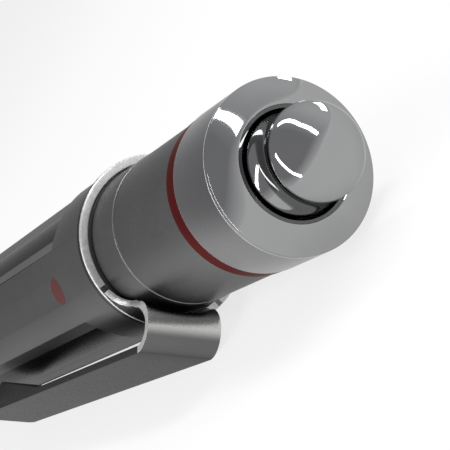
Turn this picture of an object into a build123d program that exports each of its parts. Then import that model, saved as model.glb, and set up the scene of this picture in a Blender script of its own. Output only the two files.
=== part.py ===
"""Lens cleaning pen with a click button, a pocket clip and two cleaning tools.

A soft brush slides out of the nose when the chrome button in the tail is pressed. The mushroom
head of the button pulls off its stem and uncovers a small cleaning pad.

The pen lies on a table. The origin is the centre of the nose's mouth, +X runs along the pen's
axis towards the button and +Z is up. Lengths are in millimetres.
"""

import os
from math import asin, atan2, cos, degrees, hypot, pi, radians, sin, tan

from build123d import *

# --- overall sizes ---------------------------------------------------------------------------
body_length = 126.0  # nose mouth to the bezel's rim
rim_r = 7.0  # bezel and band
travel = 6.0  # stroke of the button and of the brush

# --- clearances ------------------------------------------------------------------------------
fit = 0.05  # between two pieces pressed or screwed together
running = 0.3  # round a piece that slides
shadow_gap = 0.25  # open groove between the collar and the clip's ring

# --- barrel ----------------------------------------------------------------------------------
barrel_step = 0.65  # how far the barrel stands out past the rim
flat_depth = 1.15  # how deep the three flats cut into the barrel
flat_slope = 1.0  # length of the sloping shoulder at each end of a flat
flat_start = 7.9  # from the barrel's tail end to the end of a flat
flat_count = 3
barrel_wall = 1.0
head_wall = 0.75  # wall round the clip's skirt
edge_break = 0.2  # chamfer on turned edges
hairline = 0.1  # fine chamfer where two rings meet

# --- nose and brush --------------------------------------------------------------------------
nose_length = 22.0
nose_land = 1.0  # straight length before the cone
nose_tip_r = 4.9
nose_step = 0.2  # how far the nose lies inside the barrel's outside
nose_lip = 0.8  # lip that holds the bushing
spigot_length = 8.0
bushing_length = 8.0
bushing_wall = 0.75
spigot_wall = 1.15
ferrule_wall = 0.3
ferrule_length = 24.0
ferrule_setback = 12.0  # mouth to the front of the ferrule
bristle_setback = 0.8  # mouth to the tips of the bristles
bristle_root = 8.0  # length of bristle held inside the ferrule
plug_length = 4.0
boss_wall = 0.7
boss_overlap = 4.0  # length of ferrule held in the brush holder
return_spring_length = 14.0
holder_length = 12.0
rod_grip = 4.0  # length of push rod held at each end

# --- tail stack, measured from the rim towards the nose -----------------------------------------
bezel_rim = 0.4
band_length = 6.3
red_ring_length = 1.6
sleeve_length = 12.15
collar_length = 5.6
washer_thickness = 0.25
sleeve_recess = 0.15
collar_recess = 0.1
red_recess = 0.07
tail_wall = 1.3
collar_round = 0.8

# --- clip ------------------------------------------------------------------------------------
web_thickness = 0.4
lip_height = 0.4
ring_proud = 0.25
skirt_length = 4.7
skirt_wall = 0.5
clip_width = 6.7
clip_reach = 11.13  # pen's axis to the outside of the strip
clip_fall = 0.245  # how far the strip's free end leans in
clip_end = 73.0  # rim to the free end of the strip
bend_front = 19.95  # rim to the front of the bend
leg_sink = 0.5  # from the tongue's bore down to the underside of the bend
sheet = 0.6  # thickness of the metal in the bend
strip_thickness = 0.68
root_fillet = 2.45  # where the ring sweeps into the tongue
foot_setback = 5.0  # free end of the strip to the heel of the wedge under it
foot_length = 19.6
foot_width = 4.8
foot_gap = 0.75  # between the wedge and the barrel's flat
foot_round = 1.4
end_round = 0.8
dot_r = 1.3
dot_depth = 0.45
dot_from_rim = 35.0
dot_turn = 60.0  # degrees from the clip round to the dot

# --- bezel and button ------------------------------------------------------------------------
bezel_land = 2.78  # width of the polished face
bezel_rise = 0.85
lip_round = 0.55  # rounded lip into the bore
face_bulge = 0.12
bezel_tail = 9.0  # rim to the inner end of the bezel's spigot
button_gap = 0.2
button_sink = 0.2  # how far the button's foot sits inside the rim
button_flange = 0.85
dome_lip = 0.35
neck_waist = 0.62
waist_place = 0.45  # share of the neck's length below its waist
neck_wall = 0.5
dome_step = 0.18  # how far the dome's rim lies inside its foot
dome_rim = 3.9  # rim to the widest part of the dome
dome_height = 2.75
dome_wall = 1.4
round_middle = 0.3  # share of a rounding's radius from the corner's sides to its middle
pad_thickness = 1.5
pad_hollow = 0.5
holder_stand = 3.5  # how far the tip holder stands out past the rim
holder_seat = 4.0
grip_ring_r = 0.25

# --- click mechanism -------------------------------------------------------------------------
housing_wall = 0.65
neck_housing_wall = 0.85
housing_front = 15.7  # barrel's tail end to the front of the housing
housing_end_wall = 2.0
housing_setback = 0.2  # bezel's spigot to the housing
stem_gap = 0.52  # between the stem's head and the bezel's bore
rib_depth = 0.7
rib_setback = 1.5
rib_length = 8.0
groove_count = 4
groove_width = 2.9
crown_setback = 4.0  # from the back of the ribs to the meeting teeth
crown_depth = 0.9
tooth_count = 8
cam_wall = 0.7
fin_length = 4.5
rotor_fin_inset = 2.0
rotor_length = 8.0
stub_length = 3.0
plunger_length = 7.0
plunger_grip = 3.5
plunger_fin = 2.2
stem_waist = 4.0  # slim part of the stem behind the plunger
stop_ring = 0.7
stop_groove = 0.3
stop_stand = 1.1
stop_gap = 0.4
rod_inset = 0.8
spring_gap = 0.05
return_turns = 8
button_turns = 3
wire = 0.5
light_wire = 0.4

# --- radii that follow -----------------------------------------------------------------------
barrel_r = rim_r + barrel_step
flat_r = barrel_r - flat_depth
barrel_bore = flat_r - barrel_wall
skirt_r = barrel_r - head_wall
skirt_bore = skirt_r - skirt_wall
ring_r = barrel_r + ring_proud
sleeve_r = rim_r - sleeve_recess
collar_r = rim_r - collar_recess
red_r = rim_r - red_recess
lip_bore = collar_r + shadow_gap
bend_r = (clip_reach - lip_bore + leg_sink) / 2
tail_bore = rim_r - tail_wall
housing_r = tail_bore - fit
chamber_r = housing_r - housing_wall
bezel_bore = rim_r - bezel_land
flange_r = bezel_bore - button_gap
stem_r = bezel_bore - stem_gap
cam_bore = stem_r + running
housing_neck_r = cam_bore + neck_housing_wall
fin_r = cam_bore - running
rib_bore = cam_bore - rib_depth
cam_core = rib_bore - running
cam_socket = cam_core - cam_wall
stub_r = cam_socket - running
rod_r = cam_core - rod_inset
neck_r = flange_r - neck_waist
cap_bore = neck_r - neck_wall
holder_r = cap_bore - running
dome_r = flange_r - dome_step
nose_r = barrel_r - nose_step
spigot_r = barrel_bore - fit
nose_bore = spigot_r - spigot_wall
bushing_r = nose_bore - fit
bushing_bore = bushing_r - bushing_wall
ferrule_r = bushing_bore - running
ferrule_bore = ferrule_r - ferrule_wall
boss_r = ferrule_r + boss_wall
carrier_r = barrel_bore - running

# --- places along the pen --------------------------------------------------------------------
rim_x = body_length
bezel_seat = rim_x - bezel_rim
red_x = rim_x - band_length
sleeve_x = red_x - red_ring_length
seam_x = sleeve_x - sleeve_length
collar_x = seam_x - collar_length
washer_x = collar_x - washer_thickness
barrel_end = washer_x - web_thickness
skirt_x = barrel_end - skirt_length
bezel_tail_x = rim_x - bezel_tail
housing_end = bezel_tail_x - housing_setback
chamber_x = housing_end - (travel + stop_ring + stop_gap + 3 * light_wire)
rib_end = chamber_x - rib_setback
rib_start = rib_end - rib_length
crown_x = rib_end - crown_setback
rotor_x = crown_x - rotor_length
housing_x = barrel_end - housing_front
plunger_x = crown_x - crown_depth + running
plunger_end = crown_x + plunger_length
stem_head_x = plunger_end + stem_waist
stop_x = bezel_tail_x - stop_gap - stop_ring
stem_top = rim_x - running
tip_x = rim_x + holder_stand
grip_x = rim_x + holder_stand / 2
return_spring_x = nose_length + spigot_length
holder_x = return_spring_x + return_spring_length
holder_end = holder_x + holder_length
ferrule_end = ferrule_setback + ferrule_length
bend_x = rim_x - bend_front - bend_r
strip_end = rim_x - clip_end
bend_height = clip_reach - bend_r
tongue_end = bend_x + bend_r / 2
lip_front = washer_x + lip_height

# The pen rests on the clip's ring and on the lower edge of the clip.
half_clip = clip_width / 2
half_notch = cam_core * tan(pi / tooth_count)
corner_r = hypot(clip_reach, half_clip)
clip_bearing = 180 + degrees(asin(ring_r / corner_r)) - degrees(atan2(half_clip, clip_reach))


def outward(bearing):
    """The direction across the pen at an angle from +Y, turning towards +Z."""
    return Vector(0, cos(radians(bearing)), sin(radians(bearing)))


def side_plane(bearing):
    """A plane along the pen, with x along the axis and y outward at the bearing."""
    return Plane(origin=(0, 0, 0), x_dir=(1, 0, 0), z_dir=outward(bearing + 90))


def top_plane(bearing, height=0.0):
    """A plane along the pen that faces outward at the bearing."""
    normal = outward(bearing)
    return Plane(origin=normal * height, x_dir=(1, 0, 0), z_dir=normal)


def rod(start, end, radius, mode=Mode.ADD):
    """A round length on the pen's axis."""
    with Locations(Plane.YZ.offset(start)):
        Cylinder(radius, end - start, align=(Align.CENTER, Align.CENTER, Align.MIN), mode=mode)


def tube(start, end, bore, radius):
    """A length of tube on the pen's axis."""
    rod(start, end, radius)
    rod(start, end, bore, mode=Mode.SUBTRACT)


def rims(piece, x, radius):
    """The round edges of a piece at one place and radius."""
    circles = piece.edges().filter_by(GeomType.CIRCLE)
    return circles.filter_by(lambda e: abs(e.center().X - x) < 0.01 and abs(e.radius - radius) < 0.01)


def save(piece, name):
    """Label a finished piece and write it to its own file."""
    piece.part.label = name
    export_step(piece.part, f"parts/{name}.step")


os.makedirs("parts", exist_ok=True)

# === fixed pieces ============================================================================

with BuildPart() as nose_cone:
    with BuildSketch(Plane.XY):
        with BuildLine():
            Polyline(
                (0, bushing_bore + edge_break),
                (0, nose_tip_r - edge_break),
                (edge_break, nose_tip_r),
                (nose_length - nose_land, nose_r),
                (nose_length, nose_r),
                (nose_length, spigot_r),
                (nose_length + spigot_length, spigot_r),
                (nose_length + spigot_length, nose_bore),
                (nose_lip, nose_bore),
                (nose_lip, bushing_bore + edge_break),
                close=True,
            )
        make_face()
    revolve(axis=Axis.X)
save(nose_cone, "nose_cone")

with BuildPart() as nose_bushing:
    tube(nose_lip, nose_lip + bushing_length, bushing_bore, bushing_r)
    chamfer(rims(nose_bushing, nose_lip + bushing_length, bushing_bore), edge_break)
save(nose_bushing, "nose_bushing")

with BuildPart() as barrel:
    tube(nose_length, barrel_end, barrel_bore, barrel_r)
    rod(skirt_x, barrel_end, skirt_r, mode=Mode.SUBTRACT)
    chamfer(rims(barrel, nose_length, barrel_r), edge_break)
    for turn in range(flat_count):
        flat_end = barrel_end - flat_start
        with BuildSketch(side_plane(clip_bearing + turn * 360 / flat_count)):
            with BuildLine():
                Polyline(
                    (nose_length + flat_slope, flat_r),
                    (nose_length - flat_slope, barrel_r + flat_depth),
                    (flat_end + 2 * flat_slope, barrel_r + flat_depth),
                    (flat_end, flat_r),
                    close=True,
                )
            make_face()
        extrude(amount=barrel_r, both=True, mode=Mode.SUBTRACT)
    with BuildSketch(top_plane(clip_bearing - dot_turn, barrel_r - dot_depth)):
        with Locations((rim_x - dot_from_rim, 0)):
            Circle(dot_r + fit / 2)
    extrude(amount=2 * dot_depth, mode=Mode.SUBTRACT)
save(barrel, "barrel")

with BuildPart() as index_dot:
    with BuildSketch(top_plane(clip_bearing - dot_turn, barrel_r - dot_depth)):
        with Locations((rim_x - dot_from_rim, 0)):
            Circle(dot_r)
    extrude(amount=2 * dot_depth)
    with Locations(Plane.YZ):
        Cylinder(
            barrel_r, body_length, align=(Align.CENTER, Align.CENTER, Align.MIN), mode=Mode.INTERSECT
        )
save(index_dot, "index_dot")

with BuildPart() as threaded_insert:
    tube(skirt_x, washer_x - edge_break, housing_neck_r + fit / 2, skirt_bore - fit / 2)
save(threaded_insert, "threaded_insert")

with BuildPart() as tongue:
    # Sheet that joins the ring to the bend, seen from above and rolled to the ring's curve.
    with BuildSketch(top_plane(clip_bearing)):
        with BuildLine():
            side = half_clip + root_fillet
            sweep_centre = (lip_front + root_fillet, side)
            Line((washer_x, 0), (washer_x, side))
            Line((washer_x, side), (lip_front, side))
            CenterArc(sweep_centre, root_fillet, 180, 90)
            Line((lip_front + root_fillet, half_clip), (tongue_end, half_clip))
            Line((tongue_end, half_clip), (tongue_end, 0))
            mirror(about=Plane.XZ)
        make_face()
    extrude(amount=ring_r)
    rod_end = tongue_end + 1
    with Locations(Plane.YZ):
        Cylinder(
            ring_r, rod_end, align=(Align.CENTER, Align.CENTER, Align.MIN), mode=Mode.INTERSECT
        )
    rod(0, rod_end, lip_bore, mode=Mode.SUBTRACT)

with BuildPart() as clip:
    # The U-shaped bend and the long strip, seen from the side.
    with BuildSketch(side_plane(clip_bearing)):
        with BuildLine():
            outer_bend = CenterArc((bend_x, bend_height), bend_r, -90, 180)
            inner_r = bend_r - sheet
            inner_height = clip_reach - strip_thickness - inner_r
            inner_bend = CenterArc((bend_x, inner_height), inner_r, -90, 180)
            Polyline(
                outer_bend @ 1,
                (strip_end, clip_reach - clip_fall),
                (strip_end, clip_reach - clip_fall - strip_thickness),
                inner_bend @ 1,
            )
            Line(inner_bend @ 0, outer_bend @ 0)
        make_face()
    extrude(amount=half_clip, both=True)
    corners = clip.edges().filter_by(lambda e: abs(e.center().X - strip_end) < 0.01)
    fillet(corners.filter_by(lambda e: abs(e.length - strip_thickness) < 0.01), end_round)
    # A long wedge under the strip holds the pocket against the barrel.
    foot_top = clip_reach - clip_fall - strip_thickness / 2
    foot_low = flat_r + foot_gap
    heel_x = strip_end + foot_setback
    with BuildSketch(side_plane(clip_bearing)):
        with BuildLine():
            heel = CenterArc((heel_x + foot_round, foot_low + foot_round), foot_round, 180, 90)
            Polyline(heel @ 1, (heel_x + foot_length, foot_top), (heel_x, foot_top), heel @ 0)
        make_face()
    extrude(amount=foot_width / 2, both=True)
    rod(washer_x, bend_x + bend_r + 1, lip_bore, mode=Mode.SUBTRACT)
    add(tongue.part)
    # The ring, and the skirt that is pressed into the barrel.
    with BuildSketch(Plane.XY):
        with BuildLine():
            Polyline(
                (skirt_x, skirt_bore),
                (skirt_x, skirt_r - fit),
                (barrel_end, skirt_r - fit),
                (barrel_end, ring_r),
                (lip_front, ring_r),
                (lip_front, lip_bore),
                (washer_x, lip_bore),
                (washer_x, skirt_bore),
                close=True,
            )
        make_face()
    revolve(axis=Axis.X)
save(clip, "clip")

with BuildPart() as clip_washer:
    tube(washer_x, collar_x, skirt_bore, lip_bore - fit)
save(clip_washer, "clip_washer")

with BuildPart() as cam_housing:
    with BuildSketch(Plane.XY):
        with BuildLine():
            Polyline(
                (housing_x, rod_r + running),
                (housing_x, housing_neck_r),
                (collar_x, housing_neck_r),
                (collar_x, housing_r),
                (housing_end, housing_r),
                (housing_end, chamber_r),
                (chamber_x, chamber_r),
                (chamber_x, cam_bore),
                (rib_end, cam_bore),
                (rib_end, rib_bore),
                (rib_start, rib_bore),
                (rib_start, cam_bore),
                (housing_x + housing_end_wall, cam_bore),
                (housing_x + housing_end_wall, rod_r + running),
                close=True,
            )
        make_face()
    revolve(axis=Axis.X)
    # Guide grooves between the ribs.
    with BuildSketch(Plane.YZ.offset(rib_start)):
        with PolarLocations(0, groove_count // 2, angular_range=180):
            Rectangle(3 * cam_bore, groove_width)
        Circle(cam_bore, mode=Mode.INTERSECT)
    extrude(amount=rib_length, mode=Mode.SUBTRACT)
save(cam_housing, "cam_housing")

with BuildPart() as tail_collar:
    tube(collar_x, seam_x, tail_bore, collar_r)
    fillet(rims(tail_collar, collar_x, collar_r), collar_round)
    chamfer(rims(tail_collar, seam_x, collar_r), hairline)
save(tail_collar, "tail_collar")

with BuildPart() as tail_sleeve:
    tube(seam_x, sleeve_x, tail_bore, sleeve_r)
    chamfer(rims(tail_sleeve, seam_x, sleeve_r), hairline)
save(tail_sleeve, "tail_sleeve")

with BuildPart() as red_ring:
    tube(sleeve_x, red_x, tail_bore, red_r)
    chamfer(rims(red_ring, sleeve_x, red_r), hairline)
save(red_ring, "red_ring")

with BuildPart() as tail_band:
    tube(red_x, bezel_seat, tail_bore, rim_r)
    chamfer(rims(tail_band, red_x, rim_r), hairline)
save(tail_band, "tail_band")

with BuildPart() as bezel:
    with BuildSketch(Plane.XY):
        with BuildLine():
            face_edge = (rim_x, rim_r - hairline)
            face_top = (rim_x + bezel_rise, bezel_bore + lip_round)
            Polyline(
                (rim_x + bezel_rise - lip_round, bezel_bore),
                (bezel_tail_x, bezel_bore),
                (bezel_tail_x, housing_r),
                (bezel_seat, housing_r),
                (bezel_seat, rim_r),
                (rim_x - hairline, rim_r),
                face_edge,
            )
            ThreePointArc(
                face_edge,
                (
                    rim_x + bezel_rise / 2 + face_bulge,
                    (face_edge[1] + face_top[1]) / 2 + face_bulge / 2,
                ),
                face_top,
            )
            JernArc((rim_x + bezel_rise - lip_round, bezel_bore), (1, 0), lip_round, 90)
        make_face()
    revolve(axis=Axis.X)
save(bezel, "bezel")

# === pieces that move with the button ==========================================================

with BuildPart() as button_stem:
    with BuildSketch(Plane.XY):
        with BuildLine():
            Polyline(
                (plunger_end - plunger_grip, 0),
                (plunger_end - plunger_grip, cam_socket),
                (plunger_end, cam_socket),
                (plunger_end, cam_core),
                (stem_head_x, cam_core),
                (stem_head_x, stem_r),
                (stop_x, stem_r),
                (stop_x, stem_r - stop_groove),
                (stop_x + stop_ring, stem_r - stop_groove),
                (stop_x + stop_ring, stem_r),
                (stem_top, stem_r),
                (stem_top, holder_r + fit / 2),
                (stem_top - holder_seat, holder_r + fit / 2),
                (stem_top - holder_seat, 0),
                close=True,
            )
        make_face()
    revolve(axis=Axis.X)
save(button_stem, "button_stem")

with BuildPart() as cam_plunger:
    tube(plunger_x, plunger_end, cam_socket + fit / 2, cam_core)
    with BuildSketch(Plane.YZ.offset(crown_x + running)):
        with PolarLocations(0, groove_count // 2, angular_range=180):
            Rectangle(3 * fin_r, groove_width - 2 * running)
        Circle(fin_r, mode=Mode.INTERSECT)
        Circle(cam_socket + fit / 2, mode=Mode.SUBTRACT)
    extrude(amount=plunger_fin)
    # Pointed teeth that turn the rotor, with notches half a tooth away from the rotor's.
    for tooth in range(tooth_count):
        with BuildSketch(side_plane((tooth + 0.5) * 360 / tooth_count)):
            with BuildLine():
                Polyline(
                    (plunger_x + crown_depth, 0),
                    (plunger_x, half_notch),
                    (plunger_x, -half_notch),
                    close=True,
                )
            make_face()
        extrude(amount=-2 * cam_core, mode=Mode.SUBTRACT)
save(cam_plunger, "cam_plunger")

with BuildPart() as stop_clip:
    tube(stop_x, stop_x + stop_ring, stem_r - stop_groove + fit, stem_r + stop_stand)
    with BuildSketch(Plane.YZ.offset(stop_x)):
        with Locations((stem_r, 0)):
            Rectangle(2 * stem_r, stem_r)
    extrude(amount=stop_ring, mode=Mode.SUBTRACT)
save(stop_clip, "stop_clip")

with BuildPart() as tip_holder:
    rod(stem_top - holder_seat, tip_x, holder_r)
    # Groove for the grip ring.
    with BuildSketch(Plane.XY):
        with Locations((grip_x, holder_r)):
            Circle(grip_ring_r)
    revolve(axis=Axis.X, mode=Mode.SUBTRACT)
save(tip_holder, "tip_holder")

with BuildPart() as grip_ring:
    with BuildSketch(Plane.XY):
        with Locations((grip_x, holder_r)):
            Circle(grip_ring_r)
    revolve(axis=Axis.X)
save(grip_ring, "grip_ring")

with BuildPart() as cleaning_pad:
    with BuildSketch(Plane.XY):
        with BuildLine():
            pad_edge = (tip_x + pad_thickness, holder_r - edge_break)
            Polyline(
                (tip_x + pad_thickness - pad_hollow, 0),
                (tip_x, 0),
                (tip_x, holder_r),
                (tip_x + pad_thickness - edge_break, holder_r),
                pad_edge,
            )
            TangentArc((tip_x + pad_thickness - pad_hollow, 0), pad_edge, tangent=(0, 1))
        make_face()
    revolve(axis=Axis.X)
save(cleaning_pad, "cleaning_pad")

# === button head, which pulls off ===============================================================

with BuildPart() as button_dome:
    with BuildSketch(Plane.XY):
        with BuildLine():
            foot = rim_x - button_sink
            flange_top = foot + button_flange
            rim_place = rim_x + dome_rim
            Polyline(
                (rim_place + dome_height - dome_wall, 0),
                (rim_place + dome_height - dome_wall, cap_bore),
                (foot, cap_bore),
                (foot, flange_r - edge_break),
                (foot + edge_break, flange_r),
                (flange_top - edge_break, flange_r),
            )
            ThreePointArc(
                (flange_top - edge_break, flange_r),
                (flange_top - edge_break * round_middle, flange_r - edge_break * round_middle),
                (flange_top, flange_r - edge_break),
            )
            waist = flange_top + (rim_place - flange_top) * waist_place
            ThreePointArc(
                (flange_top, flange_r - edge_break),
                (waist, neck_r),
                (rim_place - dome_lip, dome_r - dome_lip),
            )
            ThreePointArc(
                (rim_place - dome_lip, dome_r - dome_lip),
                (rim_place - dome_lip * (1 - round_middle), dome_r - dome_lip * round_middle),
                (rim_place, dome_r),
            )
            EllipticalCenterArc((rim_place, 0), dome_height, dome_r, start_angle=0, arc_size=90)
            Line((rim_place + dome_height, 0), (rim_place + dome_height - dome_wall, 0))
        make_face()
    revolve(axis=Axis.X)
save(button_dome, "button_dome")

# === pieces that move with the brush ============================================================

with BuildPart() as cam_rotor:
    rod(rotor_x, crown_x, cam_core)
    rod(crown_x, crown_x + stub_length, stub_r)
    rod(rotor_x, rotor_x + rod_grip, rod_r + fit / 2, mode=Mode.SUBTRACT)
    with BuildSketch(Plane.YZ.offset(rotor_x + rotor_fin_inset)):
        with PolarLocations(0, groove_count // 2, angular_range=180):
            Rectangle(3 * fin_r, groove_width - 2 * running)
        Circle(fin_r, mode=Mode.INTERSECT)
        Circle(rod_r + fit / 2, mode=Mode.SUBTRACT)
    extrude(amount=fin_length)
    for tooth in range(tooth_count):
        with BuildSketch(side_plane(tooth * 360 / tooth_count)):
            with BuildLine():
                Polyline(
                    (crown_x - crown_depth, 0),
                    (crown_x, half_notch),
                    (crown_x, -half_notch),
                    close=True,
                )
            make_face()
        extrude(amount=-2 * cam_core, mode=Mode.SUBTRACT)
    rod(crown_x - crown_depth, crown_x + stub_length, stub_r)
save(cam_rotor, "cam_rotor")

with BuildPart() as push_rod:
    rod(holder_end - rod_grip, rotor_x + rod_grip, rod_r)
    chamfer(push_rod.edges().filter_by(GeomType.CIRCLE), edge_break)
save(push_rod, "push_rod")

with BuildPart() as brush_holder:
    with BuildSketch(Plane.XY):
        with BuildLine():
            Polyline(
                (ferrule_end - boss_overlap, ferrule_r + fit / 2),
                (ferrule_end - boss_overlap, boss_r),
                (holder_x, boss_r),
                (holder_x, carrier_r),
                (holder_end, carrier_r),
                (holder_end, rod_r + fit / 2),
                (holder_end - rod_grip, rod_r + fit / 2),
                (holder_end - rod_grip, 0),
                (ferrule_end, 0),
                (ferrule_end, ferrule_r + fit / 2),
                close=True,
            )
        make_face()
    revolve(axis=Axis.X)
save(brush_holder, "brush_holder")

with BuildPart() as brush_ferrule:
    tube(ferrule_setback, ferrule_end, ferrule_bore, ferrule_r)
save(brush_ferrule, "brush_ferrule")

with BuildPart() as brush_plug:
    plug_x = ferrule_setback + bristle_root
    rod(plug_x, plug_x + plug_length, ferrule_bore - fit / 2)
save(brush_plug, "brush_plug")

with BuildPart() as bristles:
    with BuildSketch(Plane.XY):
        with BuildLine():
            root_r = ferrule_bore - fit
            taper_x = bristle_setback + ferrule_r
            Polyline(
                (bristle_setback, 0),
                (plug_x, 0),
                (plug_x, root_r),
                (ferrule_setback, root_r),
                (taper_x, ferrule_r),
            )
            CenterArc((taper_x, 0), ferrule_r, 90, 90)
        make_face()
    revolve(axis=Axis.X)
save(bristles, "bristles")

# === springs ====================================================================================


def coil(start, length, radius, turns, thickness):
    """The centre line of a spring on the pen's axis, one wire inside both of its ends."""
    return Edge.make_helix(
        pitch=(length - thickness) / turns,
        height=length - thickness,
        radius=radius,
        center=(start + thickness / 2, 0, 0),
        normal=(1, 0, 0),
    )


with BuildPart() as return_spring:
    path = coil(
        return_spring_x + spring_gap,
        return_spring_length - 2 * spring_gap,
        (boss_r + barrel_bore) / 2,
        return_turns,
        wire,
    )
    with BuildSketch(Plane(origin=path @ 0, z_dir=path % 0)):
        Circle(wire / 2)
    sweep(path=path, is_frenet=True)
save(return_spring, "return_spring")

with BuildPart() as button_spring:
    path = coil(
        chamber_x + spring_gap,
        stop_x - chamber_x - 2 * spring_gap,
        (stem_r + chamber_r) / 2,
        button_turns,
        light_wire,
    )
    with BuildSketch(Plane(origin=path @ 0, z_dir=path % 0)):
        Circle(light_wire / 2)
    sweep(path=path, is_frenet=True)
save(button_spring, "button_spring")
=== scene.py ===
"""Lens cleaning pen: the finished look of every piece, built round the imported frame.

Lengths in the property groups are in metres. The pen lies along X with its button towards +X,
and its axis is the X axis of the frame.
"""

import math
import random

import bpy
from mathutils import Matrix, Vector


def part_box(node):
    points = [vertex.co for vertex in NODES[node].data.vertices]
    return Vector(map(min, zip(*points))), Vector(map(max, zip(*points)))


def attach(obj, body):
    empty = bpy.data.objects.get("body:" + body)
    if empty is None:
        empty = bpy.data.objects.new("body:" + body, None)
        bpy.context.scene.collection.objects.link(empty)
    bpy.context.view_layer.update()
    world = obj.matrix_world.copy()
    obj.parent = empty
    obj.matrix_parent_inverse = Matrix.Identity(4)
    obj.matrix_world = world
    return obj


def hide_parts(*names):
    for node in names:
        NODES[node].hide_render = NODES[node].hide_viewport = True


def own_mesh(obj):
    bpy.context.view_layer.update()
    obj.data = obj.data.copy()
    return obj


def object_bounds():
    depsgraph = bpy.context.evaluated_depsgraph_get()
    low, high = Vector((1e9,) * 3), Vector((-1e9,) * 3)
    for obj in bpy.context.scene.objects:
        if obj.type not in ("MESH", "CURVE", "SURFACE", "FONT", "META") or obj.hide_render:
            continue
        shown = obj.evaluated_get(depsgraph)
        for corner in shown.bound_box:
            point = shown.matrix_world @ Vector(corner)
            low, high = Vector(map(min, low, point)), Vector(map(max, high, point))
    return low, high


bl_info = {
    "name": "Lens cleaning pen",
    "version": (1, 0, 0),
    "blender": (4, 5, 0),
    "location": "View3D > Sidebar > Lens pen",
    "description": "Builds the finished pieces and materials of a lens cleaning pen",
    "category": "Object",
}

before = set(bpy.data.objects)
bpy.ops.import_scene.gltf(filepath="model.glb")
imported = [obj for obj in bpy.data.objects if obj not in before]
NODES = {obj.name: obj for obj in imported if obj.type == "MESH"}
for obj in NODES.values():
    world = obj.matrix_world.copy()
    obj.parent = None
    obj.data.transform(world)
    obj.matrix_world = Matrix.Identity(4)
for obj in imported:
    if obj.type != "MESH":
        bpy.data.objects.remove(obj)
CAD_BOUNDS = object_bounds()
MM = 0.001
MID_ARC = 0.293  # a quarter circle's middle lies this share of its radius inside its corner
WAIST_PLACE = 0.45  # the button's waist is this far from its foot to its dome
TUFT_GATHER = 0.14  # share by which the hairs are drawn together at their roots
FLOOR_GLOW = 0.75  # share of the floor's brightness that it gives off itself where it shows
SEAM = 1e-7  # vertices nearer than this are one, in metres
BODY = "pen_body"
HEAD = "button_head"
PLUNGER = "plunger"
CARRIER = "brush_carrier"


def start_of(node):
    """Where a piece begins along the pen, at its end nearer the nose."""
    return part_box(node)[0].x


def end_of(node):
    """Where a piece ends along the pen, at its end nearer the button."""
    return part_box(node)[1].x


def radius_of(node):
    """The outside radius of a round piece on the pen's axis."""
    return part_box(node)[1].y


RIM_HEIGHT = 0.4 * MM  # the bezel's rim stands this far above the band
RIM = end_of("tail_band") + RIM_HEIGHT
FLOOR = CAD_BOUNDS[0][2]


# --- what a user may change --------------------------------------------------------------------


def length(name, default, description):
    """A length property in metres."""
    return bpy.props.FloatProperty(
        name=name, default=default, description=description, unit="LENGTH", precision=5
    )


def colour(name, default, description):
    """A colour property, in linear light."""
    return bpy.props.FloatVectorProperty(
        name=name, default=default, size=3, min=0, max=1, subtype="COLOR", description=description
    )


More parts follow.
